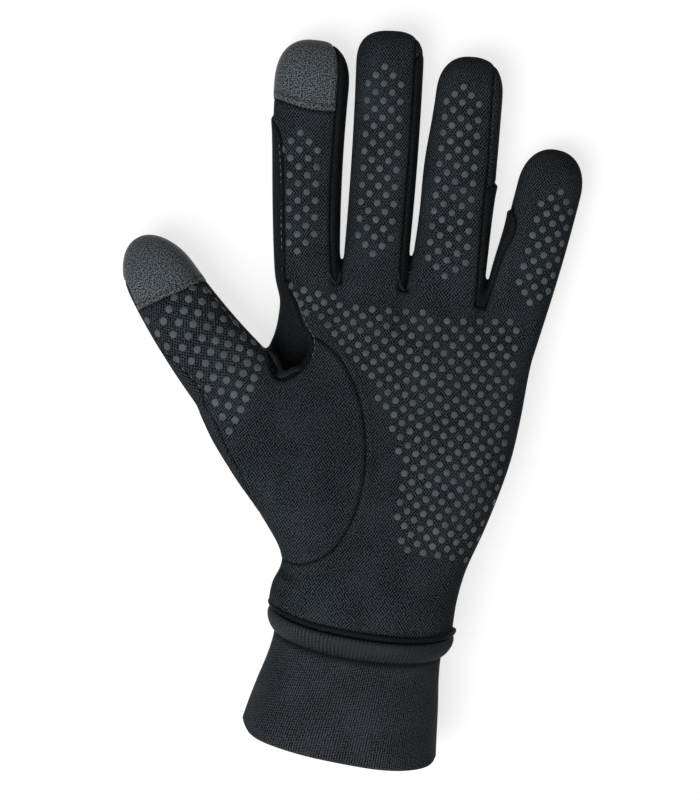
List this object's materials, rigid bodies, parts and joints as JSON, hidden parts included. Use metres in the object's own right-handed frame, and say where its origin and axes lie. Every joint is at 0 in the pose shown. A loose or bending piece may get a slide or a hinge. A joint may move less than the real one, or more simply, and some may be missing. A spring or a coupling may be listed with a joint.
{
  "type": "touchscreen glove",
  "caption": "Left stretch-knit running glove with touch patches on thumb and index finger, dotted silicone palm grip, gussets between the fingers and a knit cuff; fingers, thumb and wrist bend.",
  "frame": {"origin": "on the flat strip of the back panel that rests on the table, under the middle of the glove", "axes": "+Y to the fingertips, -X to the thumb side, +Z out of the palm"},
  "size_m": [0.1552, 0.2494, 0.0393],
  "materials": {
    "knit": "fine stretch jersey, matt black",
    "smooth_knit": "smooth elastic tricot, soft sheen, black",
    "cuff_knit": "fine ribbed knit, matt black",
    "touch_leather": "pebbled conductive synthetic leather, dark grey",
    "elastic": "woven elastic tape, black",
    "grip_silicone": "printed silicone dots, grey, satin",
    "thread": "sewing thread, black"
  },
  "bodies": {
    "hand": {"palm_panel": "knit", "back_panel": "knit", "thumb_panel": "knit", "web_gusset": "smooth_knit", "wrist_fold": "knit", "index_base_fold": "knit", "middle_base_fold": "knit", "ring_base_fold": "knit", "little_base_fold": "knit", "thumb_base_fold": "knit"},
    "cuff_end": {"wrist_piping": "smooth_knit", "wrist_roll": "smooth_knit", "wrist_elastic": "elastic", "cuff": "cuff_knit"},
    "index_lower": {"index_back_lower": "knit", "index_mid_fold": "knit", "index_palm_lower": "knit", "index_radial_side": "smooth_knit", "index_ulnar_side": "smooth_knit"},
    "index_tip": {"index_back_tip": "knit", "index_palm_tip": "knit", "index_touch_patch": "touch_leather"},
    "middle_lower": {"middle_back_lower": "knit", "middle_mid_fold": "knit", "middle_palm_lower": "knit", "middle_radial_side": "smooth_knit", "middle_ulnar_side": "smooth_knit"},
    "middle_tip": {"middle_back_tip": "knit", "middle_palm_tip": "knit"},
    "ring_lower": {"ring_back_lower": "knit", "ring_mid_fold": "knit", "ring_palm_lower": "knit", "ring_radial_side": "smooth_knit", "ring_ulnar_side": "smooth_knit"},
    "ring_tip": {"ring_back_tip": "knit", "ring_palm_tip": "knit"},
    "little_lower": {"little_back_lower": "knit", "little_mid_fold": "knit", "little_palm_lower": "knit", "little_radial_side": "smooth_knit"},
    "little_tip": {"little_back_tip": "knit", "little_palm_tip": "knit"},
    "thumb_lower": {"thumb_back_lower": "knit", "thumb_front_lower": "knit", "thumb_mid_fold": "knit"},
    "thumb_tip": {"thumb_back_tip": "knit", "thumb_front_tip": "knit", "thumb_touch_patch": "touch_leather"}
  },
  "joints": [
    {"name": "wrist_bend", "type": "hinge", "parent": "hand", "child": "cuff_end", "pos_m": [0.00306, -0.06551, 0.01861], "axis": [-0.9871, 0.1599, 0], "range_deg": [-15, 45], "deforming": ["wrist_fold"]},
    {"name": "index_base_bend", "type": "hinge", "parent": "hand", "child": "index_lower", "pos_m": [-0.01502, 0.04665, 0.01326], "axis": [0.9871, -0.1599, 0], "range_deg": [0, 85], "deforming": ["index_base_fold"]},
    {"name": "index_middle_bend", "type": "hinge", "parent": "index_lower", "child": "index_tip", "pos_m": [-0.01477, 0.08165, 0.01283], "axis": [0.9871, -0.1599, 0], "range_deg": [0, 90], "deforming": ["index_mid_fold"]},
    {"name": "middle_base_bend", "type": "hinge", "parent": "hand", "child": "middle_lower", "pos_m": [0.00776, 0.0449, 0.01358], "axis": [0.9871, -0.1599, 0], "range_deg": [0, 85], "deforming": ["middle_base_fold"]},
    {"name": "middle_middle_bend", "type": "hinge", "parent": "middle_lower", "child": "middle_tip", "pos_m": [0.01099, 0.08276, 0.01299], "axis": [0.9871, -0.1599, 0], "range_deg": [0, 90], "deforming": ["middle_mid_fold"]},
    {"name": "ring_base_bend", "type": "hinge", "parent": "hand", "child": "ring_lower", "pos_m": [0.03217, 0.0407, 0.01324], "axis": [0.9871, -0.1599, 0], "range_deg": [0, 85], "deforming": ["ring_base_fold"]},
    {"name": "ring_middle_bend", "type": "hinge", "parent": "ring_lower", "child": "ring_tip", "pos_m": [0.03663, 0.07541, 0.01266], "axis": [0.9871, -0.1599, 0], "range_deg": [0, 90], "deforming": ["ring_mid_fold"]},
    {"name": "little_base_bend", "type": "hinge", "parent": "hand", "child": "little_lower", "pos_m": [0.05657, 0.03491, 0.01219], "axis": [0.9871, -0.1599, 0], "range_deg": [0, 85], "deforming": ["little_base_fold"]},
    {"name": "little_middle_bend", "type": "hinge", "parent": "little_lower", "child": "little_tip", "pos_m": [0.06269, 0.05604, 0.01166], "axis": [0.9871, -0.1599, 0], "range_deg": [0, 90], "deforming": ["little_mid_fold"]},
    {"name": "thumb_base_bend", "type": "hinge", "parent": "hand", "child": "thumb_lower", "pos_m": [-0.0447, 0.01227, 0.01938], "axis": [0.796, 0.6053, 0], "range_deg": [0, 40], "deforming": ["thumb_base_fold"]},
    {"name": "thumb_tip_bend", "type": "hinge", "parent": "thumb_lower", "child": "thumb_tip", "pos_m": [-0.05534, 0.02739, 0.01812], "axis": [0.8382, 0.5453, 0], "range_deg": [0, 60], "deforming": ["thumb_mid_fold"]}
  ]
}
